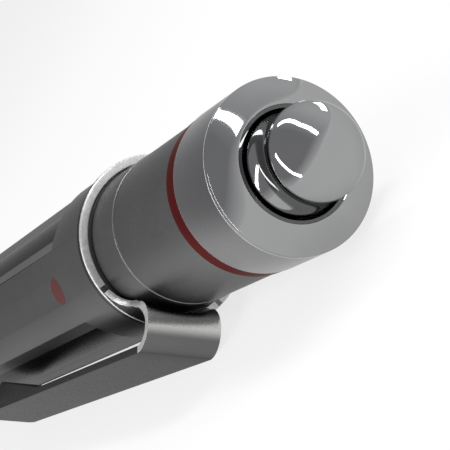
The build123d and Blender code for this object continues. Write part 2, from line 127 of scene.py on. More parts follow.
class PenSizes(bpy.types.PropertyGroup):
    """Sizes of the pieces that the frame's boxes don't give."""

    tail_wall: length("Tail wall", 1.3 * MM, "Thickness of the band, rings, sleeve and collar")
    edge: length("Edge", 0.09 * MM, "Rounding of the edges where two rings meet")
    blunt: length("Blunted edge", 0.2 * MM, "Rounding of the button, nose, pad and barrel edges")
    play: length("Play", 0.05 * MM, "Gap between pieces that fit in one another")
    collar_round: length("Collar rounding", 0.8 * MM, "Rounding at the lower edge of the collar")
    bezel_bore: length("Bezel bore", 4.22 * MM, "Radius of the hole that the button runs in")
    bezel_rise: length("Bezel rise", 0.85 * MM, "Height of the bezel's face over its rim")
    bulge: length("Face bulge", 0.12 * MM, "How far the bezel's face bulges")
    lip_round: length("Lip rounding", 0.55 * MM, "Rounded lip of the bezel's bore")
    dome_height: length("Dome height", 2.75 * MM, "Widest part of the button to its top")
    neck_r: length("Neck", 3.4 * MM, "Radius of the button's waist")
    cap_bore: length("Cap bore", 2.9 * MM, "Radius of the hollow in the button's head")
    dome_lip: length("Dome lip", 0.35 * MM, "Rounding under the rim of the dome")
    cap_roof: length("Cap roof", 1.4 * MM, "Top of the dome to the hollow in the head")
    flange: length("Flange", 0.85 * MM, "Height of the button's foot")
    dome_step: length("Dome step", 0.18 * MM, "How far the dome's rim lies inside its foot")
    flat: length("Flat", 6.5 * MM, "Distance from the pen's axis to a barrel flat")
    flat_edge: length("Flat edge", 0.12 * MM, "Rounding of the edges of the flats")
    flat_start: length("Flat start", 7.9 * MM, "Barrel's tail end to the end of a flat")
    shoulder: length("Shoulder", 1.0 * MM, "Length of the slope at the end of a flat")
    land: length("Land", 0.4 * MM, "Round stretch between the nose and a flat")
    barrel_bore: length("Barrel bore", 5.5 * MM, "Radius of the barrel's hole")
    nose_step: length("Nose step", 0.2 * MM, "How far the nose lies inside the barrel")
    nose_tip: length("Nose tip", 4.9 * MM, "Radius of the nose at its mouth")
    mouth: length("Mouth", 3.5 * MM, "Radius of the hole in the nose")
    nose_round: length("Nose rounding", 0.35 * MM, "Rounding round the nose's mouth")
    nose_seat: length("Nose seat", 1 * MM, "Straight stretch of the nose at the barrel")
    nose_wall: length("Nose wall", 1.15 * MM, "Wall of the nose's spigot")
    nose_floor: length("Nose floor", 0.8 * MM, "Thickness of the metal round the mouth")
    bright_rim: length("Bright rim", 0.3 * MM, "Depth of the bare metal at the nose's mouth")
    head_wall: length("Head wall", 0.75 * MM, "Wall of the barrel round the clip's skirt")
    dot_r: length("Dot", 1.3 * MM, "Radius of the enamel dot")
    dot_play: length("Dot play", 0.01 * MM, "Between the enamel and its recess")
    dot_depth: length("Dot depth", 0.45 * MM, "Depth of the dot's recess")
    dot_from_rim: length("Dot place", 35 * MM, "Rim to the middle of the dot")
    lip_bore: length("Lip bore", 7.06 * MM, "Inner radius of the clip ring's lip")
    washer_play: length("Washer play", 0.03 * MM, "Between the washer and the clip's ring")
    washer_wall: length("Washer wall", 0.7 * MM, "Width of the washer inside the clip's ring")
    clip_reach: length("Clip reach", 11.13 * MM, "Pen's axis to the outside of the strip")
    clip_width: length("Clip width", 6.7 * MM, "Width of the clip's strip")
    sheet: length("Sheet", 0.64 * MM, "Thickness of the clip's metal")
    sheet_edge: length("Sheet edge", 0.13 * MM, "Rounding of the clip's edges")
    clip_end: length("Clip end", 73 * MM, "Rim to the free end of the strip")
    clip_fall: length("Clip fall", 0.245 * MM, "How far the strip's free end leans in")
    end_round: length("End rounding", 0.8 * MM, "Rounded corners of the strip's free end")
    bend_front: length("Bend front", 19.95 * MM, "Rim to the front of the clip's bend")
    bend_r: length("Bend radius", 2.24 * MM, "Outer radius of the clip's bend")
    # Place and reach of the painted highlight on the clip's bend.
    highlight_width: length("Highlight width", 1.5 * MM, "Reach of the painted highlight on the clip's bend")
    highlight_lean: bpy.props.FloatProperty(
        name="Highlight place", default=12, description="Place on the bend, in degrees towards the pen"
    )
    ring_height: length("Ring height", 0.4 * MM, "How far the clip's ring passes its washer's seat")
    skirt_wall: length("Skirt wall", 0.5 * MM, "Wall of the clip's skirt")
    skirt_length: length("Skirt", 4.7 * MM, "Length of the clip's skirt")
    lip_edge: length("Lip edge", 0.16 * MM, "Rounding of the edges of the ring's lip")
    tongue_rise: length("Tongue rise", 0.14 * MM, "Lip's bore to the outside of the tongue")
    root_depth: length("Root depth", 0.1 * MM, "How deep the tongue starts inside the ring")
    root_land: length("Root land", 0.5 * MM, "Straight stretch before the sweep of the tongue")
    root_fillet: length("Root fillet", 2.45 * MM, "Sweep from the clip's ring into its tongue")
    foot_setback: length("Foot place", 5 * MM, "Free end of the strip to the wedge's heel")
    foot_length: length("Foot length", 19.6 * MM, "Length of the wedge under the strip")
    foot_width: length("Foot width", 4.8 * MM, "Width of the wedge under the strip")
    foot_gap: length("Foot gap", 0.75 * MM, "Between the wedge and the barrel's flat")
    foot_round: length("Foot rounding", 1.4 * MM, "Rounded heel of the wedge")
    pad_hollow: length("Pad hollow", 0.5 * MM, "Depth of the hollow in the cleaning pad")
    pad_slope: length("Pad slope", 1 * MM, "Width of the slope inside the pad's edge")
    pad_edge: length("Pad edge", 0.3 * MM, "Width of the raised edge of the pad")
    hair_r: length("Hair", 0.055 * MM, "Radius of a hair at its root")
    tuft_edge: length("Tuft edge", 0.12 * MM, "How far the outer hairs start inside the ferrule")
    tuft_rough: length("Tuft unevenness", 0.25 * MM, "How much the hairs differ in length")
    hair_lean: length("Hair lean", 0.12 * MM, "How far a hair's tip strays")
    wire: length("Return wire", 0.5 * MM, "Wire of the return spring")
    light_wire: length("Button wire", 0.4 * MM, "Wire of the button's spring")
    return_turns: bpy.props.IntProperty(
        name="Return turns", default=8, min=1, description="Turns of the return spring"
    )
    button_turns: bpy.props.IntProperty(
        name="Button turns", default=3, min=1, description="Turns of the button's spring"
    )
    hair_count: bpy.props.IntProperty(
        name="Hairs", default=900, min=1, description="Number of hairs in the brush"
    )


class PenColours(bpy.types.PropertyGroup):
    """Colours of the finishes."""

    satin: colour("Satin grey", (0.205, 0.205, 0.207), "Barrel, sleeve, collar and nose")
    band: colour("Band", (0.21, 0.21, 0.214), "Brushed band under the bezel")
    clip: colour("Clip", (0.14, 0.14, 0.14), "Broad faces of the clip")
    # Painted highlight: the lighter colour across the front of the clip's bend.
    bend_highlight: colour("Clip highlight", (0.6, 0.6, 0.59), "Front of the clip's bend")
    # Also gives the painted highlight line along the inner edges of the clip's strip.
    edge: colour("Bare edge", (0.62, 0.62, 0.62), "Sheared and turned edges")
    chrome: colour("Chrome", (0.32, 0.322, 0.325), "Bezel and button")
    red: colour("Red ring", (0.15, 0.018, 0.016), "Dark red ring")
    enamel: colour("Red dot", (0.085, 0.010, 0.009), "Enamel of the index dot")
    # On the washer this black is painted shade for the gap inside the clip's ring.
    nylon: colour("Black nylon", (0.018, 0.018, 0.019), "Washer, liner and holders")
    acetal: colour("White acetal", (0.74, 0.74, 0.70), "Cam pieces")
    brass: colour("Brass", (0.70, 0.50, 0.22), "Threaded insert")
    steel: colour("Steel", (0.55, 0.55, 0.56), "Stem, rod and springs")
    nickel: colour("Nickel", (0.62, 0.60, 0.56), "Ferrule of the brush")
    resin: colour("Resin", (0.45, 0.30, 0.12), "Glue behind the hairs")
    hair: colour("Hair", (0.030, 0.022, 0.017), "Hairs of the brush")
    felt: colour("Felt", (0.020, 0.020, 0.022), "Cleaning pad")


class PenStage(bpy.types.PropertyGroup):
    """Camera, floor and lights."""

    azimuth: bpy.props.FloatProperty(
        name="Azimuth", default=65.77, description="Camera's heading, 0 along +Y and 90 along -X"
    )
    elevation: bpy.props.FloatProperty(
        name="Elevation", default=13.82, description="Camera's height above the horizon, in degrees"
    )
    roll: bpy.props.FloatProperty(
        name="Roll", default=-56.44, description="Camera's roll about its own axis, in degrees"
    )
    distance: length("Distance", 118.08 * MM, "Camera to the point it looks at")
    aim: bpy.props.FloatVectorProperty(
        name="Aim",
        default=(-3.02 * MM, -5.72 * MM, 1.64 * MM),
        subtype="XYZ",
        description="Point that the camera looks at, from the middle of the rim",
    )
    lens: bpy.props.FloatProperty(
        name="Lens", default=126.5, description="Focal length in millimetres on a 36 mm sensor"
    )
    floor: colour("Floor", (0.86, 0.86, 0.86), "Colour of the floor")
    room: colour("Room", (0.40, 0.40, 0.41), "Colour of the room above the floor")
    low_room: colour("Low room", (0.85, 0.85, 0.86), "Colour of the room near the floor")
    bright_side: colour("Bright side", (0.9, 0.92, 0.92), "Colour of the room's +Y side")
    lamp_distance: length("Lamp distance", 0.35, "Rim to the strip lamps")
    lamp_width: length("Lamp width", 0.04, "Width of the strip lamps")
    lamp_brightness: bpy.props.FloatProperty(
        name="Lamp brightness", default=12, min=0, description="1 is white paper in full light"
    )


def sizes():
    return bpy.context.scene.pen_sizes


def colours():
    return bpy.context.scene.pen_colours


# --- building blocks ---------------------------------------------------------------------------


def deselect():
    """Nothing is selected or being edited."""
    if bpy.context.mode != "OBJECT":
        bpy.ops.object.mode_set(mode="OBJECT")
    bpy.ops.object.select_all(action="DESELECT")


def take(obj):
    """Makes obj the only selected and active object."""
    deselect()
    obj.select_set(True)
    bpy.context.view_layer.objects.active = obj


def settle(obj, name):
    """Names obj and moves its place into its mesh, so that its origin is the frame's."""
    take(obj)
    bpy.ops.object.transform_apply(location=True, rotation=True, scale=True)
    obj.name = name
    obj.data.name = name
    return obj


def shade(obj, degrees=35):
    """Shades a piece smooth, apart from edges sharper than the angle."""
    take(obj)
    bpy.ops.object.shade_smooth_by_angle(angle=math.radians(degrees))


def face_outwards(obj):
    take(obj)
    bpy.ops.object.mode_set(mode="EDIT")
    bpy.ops.mesh.select_all(action="SELECT")
    bpy.ops.mesh.normals_make_consistent(inside=False)
    bpy.ops.object.mode_set(mode="OBJECT")


def rounded(corners):
    """An outline of (x, r) points from (x, r, rounding) corners, with an arc at each rounding."""
    outline = []
    count = len(corners)
    for i, (x, r, rounding) in enumerate(corners):
        here = Vector((x, r))
        if not rounding:
            outline.append(here)
            continue
        back = (Vector(corners[i - 1][:2]) - here).normalized()
        ahead = (Vector(corners[(i + 1) % count][:2]) - here).normalized()
        half = back.angle(ahead) / 2
        reach = rounding / math.tan(half)
        centre = here + (back + ahead).normalized() * (rounding / math.sin(half))
        first = here + back * reach - centre
        turn = first.angle_signed(here + ahead * reach - centre)
        steps = max(3, round(abs(turn) / math.radians(9)))
        for step in range(steps + 1):
            spot = first.copy()
            spot.rotate(Matrix.Rotation(-turn * step / steps, 2))
            outline.append(centre + spot)
    return outline


def turned(name, outline, closed=True, steps=192):
    """A piece turned about the pen's axis: a vertex is drawn along the outline, then spun."""
    deselect()
    start = outline[0]
    bpy.ops.mesh.primitive_plane_add(size=MM, location=(start[0], 0, start[1]))
    obj = settle(bpy.context.object, name)
    bpy.ops.object.mode_set(mode="EDIT")
    bpy.ops.mesh.select_all(action="SELECT")
    bpy.ops.mesh.merge(type="CENTER")
    route = list(outline[1:]) + ([start] if closed else [])
    here = start
    for spot in route:
        move = (spot[0] - here[0], 0, spot[1] - here[1])
        bpy.ops.mesh.extrude_region_move(TRANSFORM_OT_translate={"value": move})
        here = spot
    bpy.ops.mesh.select_all(action="SELECT")
    bpy.ops.mesh.spin(steps=steps, angle=2 * math.pi, center=(0, 0, 0), axis=(1, 0, 0))
    bpy.ops.mesh.select_all(action="SELECT")
    bpy.ops.mesh.remove_doubles(threshold=SEAM)
    bpy.ops.mesh.normals_make_consistent(inside=False)
    bpy.ops.object.mode_set(mode="OBJECT")
    shade(obj)
    return obj


def ring(name, node, low_round=None):
    """A turned ring that fills a CAD ring's box, with its outer edges rounded."""
    edge, wall = sizes().edge, sizes().tail_wall
    low, high, radius = start_of(node), end_of(node), radius_of(node)
    outline = rounded(
        [
            (low, radius - wall, 0),
            (high, radius - wall, 0),
            (high, radius, edge),
            (low, radius, low_round or edge),
        ]
    )
    return turned(name, outline)


def apply_modifiers(obj):
    take(obj)
    for modifier in list(obj.modifiers):
        bpy.ops.object.modifier_apply(modifier=modifier.name)


def finish_piece(obj, materials, body, node):
    """Gives a piece its materials, and puts it on its body in place of its CAD node."""
    obj.data.materials.clear()
    for material in materials:
        obj.data.materials.append(material)
    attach(obj, body)
    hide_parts(node)


def paint(obj, index, test):
    """Gives the faces that pass the test the material of that index."""
    for face in obj.data.polygons:
        if test(face.center, face.normal):
            face.material_index = index


def off_axis(spot):
    """Distance of a point from the pen's axis."""
    return math.hypot(spot.y, spot.z)


# --- finishes ----------------------------------------------------------------------------------


MADE = {}


class Finish:
    """A material under construction, with short calls for the nodes that it needs."""

    def __init__(self, name, base, metallic, roughness):
        self.material = bpy.data.materials.new(name)
        MADE[name] = self.material
        self.material.use_nodes = True
        self.nodes = self.material.node_tree.nodes
        self.links = self.material.node_tree.links
        self.shader = self.nodes["Principled BSDF"]
        self.base = base
        self.set("Base Color", (*base, 1))
        self.set("Metallic", metallic)
        self.set("Roughness", roughness)

    def set(self, socket, value):
        self.shader.inputs[socket].default_value = value

    def edge_shade(self, share):
        """Darkens the metal where it is seen at a low angle."""
        self.set("Specular Tint", (share, share, share, 1))

    def link(self, output, target):
        self.links.new(output, target)

    def place(self, stretch=(1, 1, 1)):
        """Object coordinates, scaled along each axis."""
        coordinates = self.nodes.new("ShaderNodeTexCoord")
        mapping = self.nodes.new("ShaderNodeMapping")
        mapping.inputs["Scale"].default_value = stretch
        self.link(coordinates.outputs["Object"], mapping.inputs["Vector"])
        return mapping.outputs["Vector"]

    def lathe_place(self):
        """A place that is the same all the way round the pen's axis, for turning marks."""
        coordinates = self.nodes.new("ShaderNodeTexCoord")
        split = self.nodes.new("ShaderNodeSeparateXYZ")
        self.link(coordinates.outputs["Object"], split.inputs["Vector"])
        across = self.nodes.new("ShaderNodeCombineXYZ")
        self.link(split.outputs["Y"], across.inputs["Y"])
        self.link(split.outputs["Z"], across.inputs["Z"])
        radius = self.nodes.new("ShaderNodeVectorMath")
        radius.operation = "LENGTH"
        self.link(across.outputs["Vector"], radius.inputs[0])
        join = self.nodes.new("ShaderNodeCombineXYZ")
        self.link(split.outputs["X"], join.inputs["X"])
        self.link(radius.outputs["Value"], join.inputs["Y"])
        return join.outputs["Vector"]

    def noise(self, place, scale, detail=3.0, rough=0.55):
        node = self.nodes.new("ShaderNodeTexNoise")
        node.inputs["Scale"].default_value = scale
        node.inputs["Detail"].default_value = detail
        node.inputs["Roughness"].default_value = rough
        self.link(place, node.inputs["Vector"])
        return node.outputs["Fac"]

    def spread(self, value, low, high):
        """Maps noise, which stays near a half, to the range from low to high."""
        node = self.nodes.new("ShaderNodeMapRange")
        node.inputs["From Min"].default_value = 0.3
        node.inputs["From Max"].default_value = 0.7
        node.inputs["To Min"].default_value = low
        node.inputs["To Max"].default_value = high
        self.link(value, node.inputs["Value"])
        return node.outputs["Result"]

    def tint(self, value, darker, lighter):
        """Varies the base colour a little with a value from 0 to 1."""
        ramp = self.nodes.new("ShaderNodeValToRGB")
        ramp.color_ramp.elements[0].position = 0.3
        ramp.color_ramp.elements[1].position = 0.7
        ramp.color_ramp.elements[0].color = (*(c * darker for c in self.base), 1)
        ramp.color_ramp.elements[1].color = (*(min(1, c * lighter) for c in self.base), 1)
        self.link(value, ramp.inputs["Fac"])
        self.link(ramp.outputs["Color"], self.shader.inputs["Base Color"])

    def roughen(self, value, low, high):
        self.link(self.spread(value, low, high), self.shader.inputs["Roughness"])

    def bump(self, value, height, strength):
        """Raises the surface by the value times a height in metres."""
        node = self.nodes.new("ShaderNodeBump")
        node.inputs["Distance"].default_value = height
        node.inputs["Strength"].default_value = strength
        self.link(value, node.inputs["Height"])
        self.link(node.outputs["Normal"], self.shader.inputs["Normal"])


def satin_metal(name, base, roughness=0.4, edge_share=0.5):
    """Bead-blasted and anodised metal: a fine even grain with soft cloudy patches."""
    finish = Finish(name, base, 1.0, roughness)
    finish.edge_shade(edge_share)
    fine = finish.noise(finish.place(), 5200, 2.0)
    cloud = finish.noise(finish.place(), 90, 3.0)
    finish.tint(cloud, 0.95, 1.05)
    finish.roughen(fine, roughness - 0.06, roughness + 0.06)
    finish.bump(fine, 0.004 * MM, 0.5)
    return finish


def clip_with_painted_highlight(name, base, bend_highlight):
    """The clip's satin metal, with a painted highlight: a lighter colour along the front of its
    bend.
    """
    s = sizes()
    finish = satin_metal(name, base, 0.3, 0.4)
    lean, turn = math.radians(s.highlight_lean), clip_turn()
    out = s.clip_reach - s.bend_r * (1 + math.sin(lean))
    highlight_ridge = (
        RIM - s.bend_front - s.bend_r * (1 - math.cos(lean)),
        out * math.cos(turn),
        out * math.sin(turn),
    )
    coordinates = finish.nodes.new("ShaderNodeTexCoord")
    across = finish.nodes.new("ShaderNodeMapping")
    across.vector_type = "TEXTURE"
    across.inputs["Location"].default_value = highlight_ridge
    across.inputs["Rotation"].default_value = (turn, 0, 0)
    across.inputs["Scale"].default_value = (1, 1, 1000)  # leaves out the way across the clip
    away = finish.nodes.new("ShaderNodeVectorMath")
    away.operation = "LENGTH"
    share = finish.nodes.new("ShaderNodeMapRange")
    share.interpolation_type = "SMOOTHSTEP"
    share.inputs["From Min"].default_value = s.highlight_width
    share.inputs["From Max"].default_value = s.highlight_width / 4
    # Painted highlight: the lighter colour is mixed in near the ridge line across the bend.
    mix = finish.nodes.new("ShaderNodeMix")
    mix.data_type = "RGBA"
    mix.inputs["B"].default_value = (*bend_highlight, 1)
    before = finish.shader.inputs["Base Color"].links[0].from_socket
    finish.link(coordinates.outputs["Object"], across.inputs["Vector"])
    finish.link(across.outputs["Vector"], away.inputs[0])
    finish.link(away.outputs["Value"], share.inputs["Value"])
    finish.link(share.outputs["Result"], mix.inputs["Factor"])
    finish.link(before, mix.inputs["A"])
    finish.link(mix.outputs["Result"], finish.shader.inputs["Base Color"])


def brushed_metal(name, base, roughness=0.3):
    """Metal finished on a lathe with an abrasive: fine lines run round the axis."""
    finish = Finish(name, base, 1.0, roughness)
    lines = finish.noise(finish.lathe_place(), 9000, 4.0, 0.7)
    finish.tint(lines, 0.88, 1.12)
    finish.roughen(lines, roughness - 0.08, roughness + 0.1)
    finish.bump(lines, 0.003 * MM, 0.6)
    finish.set("Anisotropic", 0.55)
    tangent = finish.nodes.new("ShaderNodeTangent")
    tangent.direction_type = "RADIAL"
    tangent.axis = "X"
    finish.link(tangent.outputs["Tangent"], finish.shader.inputs["Tangent"])


def mirror_metal(name, base, roughness=0.035):
    """Polished plating, with faint haze where it has been handled."""
    finish = Finish(name, base, 1.0, roughness)
    finish.edge_shade(0.7)
    haze = finish.noise(finish.place(), 260, 4.0)
    finish.roughen(haze, roughness * 0.6, roughness * 2.2)
    finish.tint(finish.noise(finish.place(), 150, 2.0), 0.97, 1.03)


def turned_edge(name, base):
    """Bare metal at a cut edge, with fine nicks."""
    finish = Finish(name, base, 0.7, 0.38)
    nicks = finish.noise(finish.place(), 2600, 4.0, 0.7)
    finish.tint(nicks, 0.8, 1.1)
    finish.roughen(nicks, 0.3, 0.46)
    finish.bump(nicks, 0.006 * MM, 0.5)


def dyed_metal(name, base):
    """Anodised and dyed metal, with lathe lines under the colour."""
    finish = Finish(name, base, 0.85, 0.38)
    finish.edge_shade(0.3)
    lines = finish.noise(finish.lathe_place(), 7000, 3.0)
    finish.tint(lines, 0.85, 1.12)
    finish.roughen(lines, 0.32, 0.46)
    finish.bump(lines, 0.003 * MM, 0.5)
    finish.set("Coat Weight", 0.06)
    finish.set("Coat Roughness", 0.3)


def enamel_paint(name, base):
    """Matt enamel, a little uneven where it filled the recess."""
    finish = Finish(name, base, 0.0, 0.5)
    finish.set("Specular IOR Level", 0.3)
    flow = finish.noise(finish.place(), 1500, 3.0)
    finish.tint(flow, 0.85, 1.12)
    finish.roughen(flow, 0.38, 0.55)
    finish.bump(flow, 0.02 * MM, 0.4)


def moulded(name, base, roughness=0.45):
    """Moulded plastic with a faint grain."""
    finish = Finish(name, base, 0.0, roughness)
    grain = finish.noise(finish.place(), 2400, 3.0)
    finish.tint(grain, 0.92, 1.08)
    finish.roughen(grain, roughness - 0.07, roughness + 0.07)
    finish.bump(grain, 0.01 * MM, 0.4)


def drawn_metal(name, base, roughness=0.25):
    """Drawn or turned bare metal."""
    finish = Finish(name, base, 1.0, roughness)
    lines = finish.noise(finish.lathe_place(), 6000, 3.0)
    finish.tint(lines, 0.85, 1.1)
    finish.roughen(lines, roughness - 0.08, roughness + 0.1)
    finish.bump(lines, 0.004 * MM, 0.5)


def short_felt(name, base):
    """Short felt: a fuzzy surface with a soft sheen."""
    finish = Finish(name, base, 0.0, 0.95)
    fuzz = finish.noise(finish.place(), 9000, 5.0, 0.75)
    finish.tint(fuzz, 0.6, 1.6)
    finish.bump(fuzz, 0.05 * MM, 0.9)
    finish.set("Sheen Weight", 0.35)
    finish.set("Sheen Roughness", 0.4)


def hair_strand(name, base):
    """Soft hair, a little lighter along some strands."""
    finish = Finish(name, base, 0.0, 0.5)
    streak = finish.noise(finish.place((0.2, 1, 1)), 4200, 2.0)
    finish.tint(streak, 0.7, 2.6)
    finish.roughen(streak, 0.42, 0.6)
    finish.set("Sheen Weight", 0.3)


def finishes():
    """Every finish of the pen by name, made once."""
    if MADE:
        return MADE
    c = colours()
    satin_metal("satin_grey", c.satin)
    # The clip's finish carries a painted highlight on the front of its bend.
    clip_with_painted_highlight("clip_satin", c.clip, c.bend_highlight)
    brushed_metal("brushed_grey", c.band)
    mirror_metal("chrome_plate", c.chrome)
    turned_edge("bare_edge", c.edge)
    dyed_metal("dark_red", c.red)
    enamel_paint("dot_enamel", c.enamel)
    moulded("nylon_moulding", c.nylon)
    moulded("acetal_moulding", c.acetal, 0.35)
    drawn_metal("turned_brass", c.brass)
    drawn_metal("steel_turned", c.steel)
    drawn_metal("nickel_tube", c.nickel, 0.2)
    moulded("set_resin", c.resin, 0.25)
    moulded("rubber_ring", c.nylon, 0.6)
    hair_strand("brush_hair", c.hair)
    short_felt("felt_face", c.felt)
    return MADE


# --- turned pieces of the tail -----------------------------------------------------------------


def arc(first, middle, last, steps=20):
    """Points on the arc through three points of an outline, without its first point."""
    (ax, ay), (bx, by), (cx, cy) = first, middle, last
    d = 2 * (ax * (by - cy) + bx * (cy - ay) + cx * (ay - by))
    a2, b2, c2 = ax * ax + ay * ay, bx * bx + by * by, cx * cx + cy * cy
    centre = Vector(
        (
            (a2 * (by - cy) + b2 * (cy - ay) + c2 * (ay - by)) / d,
            (a2 * (cx - bx) + b2 * (ax - cx) + c2 * (bx - ax)) / d,
        )
    )
    spoke = Vector(first) - centre
    sweep = spoke.angle_signed(Vector(last) - centre)
    spots = []
    for step in range(1, steps + 1):
        spot = spoke.copy()
        spot.rotate(Matrix.Rotation(-sweep * step / steps, 2))
        spots.append(centre + spot)
    return spots


class PEN_OT_bezel(bpy.types.Operator):
    """Polished bezel: a conical face with a rounded lip into the button's bore"""

    bl_idname = "pen.bezel"
    bl_label = "Bezel"

    def execute(self, context):
        s, made = sizes(), finishes()
        low, tail = start_of("bezel"), radius_of("red_ring") - s.tail_wall
        rim_r = radius_of("tail_band")
        seat = end_of("tail_band")
        top = RIM + s.bezel_rise
        edge = (RIM, rim_r - s.edge)
        crest = (top, s.bezel_bore + s.lip_round)
        middle = ((edge[0] + crest[0]) / 2 + s.bulge, (edge[1] + crest[1]) / 2 + s.bulge / 2)
        outline = [(low, s.bezel_bore), (low, tail), (seat, tail), (seat, rim_r)]
        outline += rounded([(seat, rim_r, 0), (RIM, rim_r, s.edge), (top, s.bezel_bore, 0)])[1:-1]
        outline += arc(tuple(outline[-1]), middle, crest, 32)
        outline += arc(
            crest,
            (top - s.lip_round * MID_ARC, s.bezel_bore + s.lip_round * MID_ARC),
            (top - s.lip_round, s.bezel_bore),
            16,
        )
        bezel = turned("bezel_turned", outline, steps=256)
        finish_piece(bezel, [made["chrome_plate"]], BODY, "bezel")
        return {"FINISHED"}


class PEN_OT_button(bpy.types.Operator):
    """Mushroom button: a flanged foot, a waisted neck and a domed head"""

    bl_idname = "pen.button"
    bl_label = "Button"

    def execute(self, context):
        s, made = sizes(), finishes()
        foot, top = start_of("button_dome"), end_of("button_dome")
        flange_r = radius_of("button_dome")
        dome_r = flange_r - s.dome_step
        rim = top - s.dome_height
        flange_top = foot + s.flange
        lip = s.dome_lip
        hollow = top - s.cap_roof
        waist = flange_top + (rim - flange_top) * WAIST_PLACE
        outline = [(hollow, 0), (hollow, s.cap_bore)]
        outline += rounded(
            [
                (hollow, s.cap_bore, 0),
                (foot, s.cap_bore, s.edge),
                (foot, flange_r, s.blunt),
                (flange_top, flange_r, s.blunt),
                (waist, s.neck_r, 0),
            ]
        )[1:-1]
        outline += arc(tuple(outline[-1]), (waist, s.neck_r), (rim - lip, dome_r - lip), 24)
        outline += arc(
            (rim - lip, dome_r - lip), (rim - lip * 0.7, dome_r - lip * 0.3), (rim, dome_r), 8
        )
        steps = 48
        for step in range(1, steps):
            angle = math.pi / 2 * step / steps
            outline.append((rim + s.dome_height * math.sin(angle), dome_r * math.cos(angle)))
        outline.append((top, 0))
        button = turned("button_turned", outline, closed=False, steps=256)
        finish_piece(button, [made["chrome_plate"]], HEAD, "button_dome")
        return {"FINISHED"}


class PEN_OT_rings(bpy.types.Operator):
    """Brushed band, red ring, sleeve, collar and washer of the tail"""

    bl_idname = "pen.rings"
    bl_label = "Tail rings"

    def execute(self, context):
        s, made = sizes(), finishes()
        band = ring("tail_band_turned", "tail_band")
        finish_piece(
            band, [made["brushed_grey"], made["bare_edge"]], BODY, "tail_band"
        )
        ends = (start_of("tail_band"), end_of("tail_band"))
        paint(band, 1, lambda spot, n: min(abs(spot.x - x) for x in ends) < s.edge)
        red = ring("red_ring_turned", "red_ring")
        finish_piece(red, [made["dark_red"]], BODY, "red_ring")
        sleeve = ring("tail_sleeve_turned", "tail_sleeve")
        finish_piece(
            sleeve,
            [made["satin_grey"], made["bare_edge"]],
            BODY,
            "tail_sleeve",
        )
        seam = start_of("tail_sleeve")
        paint(sleeve, 1, lambda spot, n: spot.x - seam < s.edge)
        collar = ring("tail_collar_turned", "tail_collar", low_round=s.collar_round)
        finish_piece(collar, [made["satin_grey"]], BODY, "tail_collar")
        # The washer's black shows as the dark line inside the clip's ring: painted shade for the
        # gap there.
        low, high = start_of("clip_washer"), end_of("clip_washer")
        radius = s.lip_bore - s.washer_play
        washer = turned(
            "clip_washer_turned",
            rounded(
                [
                    (low, radius - s.washer_wall, 0),
                    (high, radius - s.washer_wall, 0),
                    (high, radius, s.edge),
                    (low, radius, 0),
                ]
            ),
        )
        finish_piece(washer, [made["nylon_moulding"]], BODY, "clip_washer")
        return {"FINISHED"}


# --- barrel and nose ---------------------------------------------------------------------------


def clip_turn():
    """Angle from +Y round to the clip: the pen lies on the clip's ring and the clip's edge."""
    s = sizes()
    half = s.clip_width / 2
    corner = math.hypot(s.clip_reach, half)
    return math.pi + math.asin(-FLOOR / corner) - math.atan2(half, s.clip_reach)


def turn_to(obj, angle):
    """Turns a piece modelled on the +Y side of the pen round to its angle."""
    take(obj)
    obj.rotation_euler.x = angle
    return settle(obj, obj.name)


def extruded(name, outline, half):
    """A block with an (x, y) outline, as thick as twice half along Z."""
    deselect()
    start = outline[0]
    bpy.ops.mesh.primitive_plane_add(size=MM, location=(start[0], start[1], -half))
    obj = settle(bpy.context.object, name)
    bpy.ops.object.mode_set(mode="EDIT")
    bpy.ops.mesh.select_all(action="SELECT")
    bpy.ops.mesh.merge(type="CENTER")
    here = start
    for spot in list(outline[1:]) + [start]:
        move = (spot[0] - here[0], spot[1] - here[1], 0)
        bpy.ops.mesh.extrude_region_move(TRANSFORM_OT_translate={"value": move})
        here = spot
    bpy.ops.mesh.select_all(action="SELECT")
    bpy.ops.mesh.remove_doubles(threshold=SEAM)
    bpy.ops.mesh.edge_face_add()
    bpy.ops.mesh.extrude_region_move(TRANSFORM_OT_translate={"value": (0, 0, 2 * half)})
    bpy.ops.mesh.select_all(action="SELECT")
    bpy.ops.mesh.normals_make_consistent(inside=False)
    bpy.ops.object.mode_set(mode="OBJECT")
    return obj


def combine(obj, other, operation):
    """Cuts the other piece from obj, or joins it on, and removes the other."""
    modifier = obj.modifiers.new("combine", "BOOLEAN")
    modifier.object = other
    modifier.operation = operation
    modifier.solver = "EXACT"
    apply_modifiers(obj)
    take(other)
    bpy.ops.object.delete()
    return obj


def soften(obj, width, angle=20, segments=3):
    """Rounds the sharp edges of a piece."""
    modifier = obj.modifiers.new("soften", "BEVEL")
    modifier.width = width
    modifier.segments = segments
    modifier.limit_method = "ANGLE"
    modifier.angle_limit = math.radians(angle)
    modifier.harden_normals = False
    apply_modifiers(obj)
    shade(obj, 30)


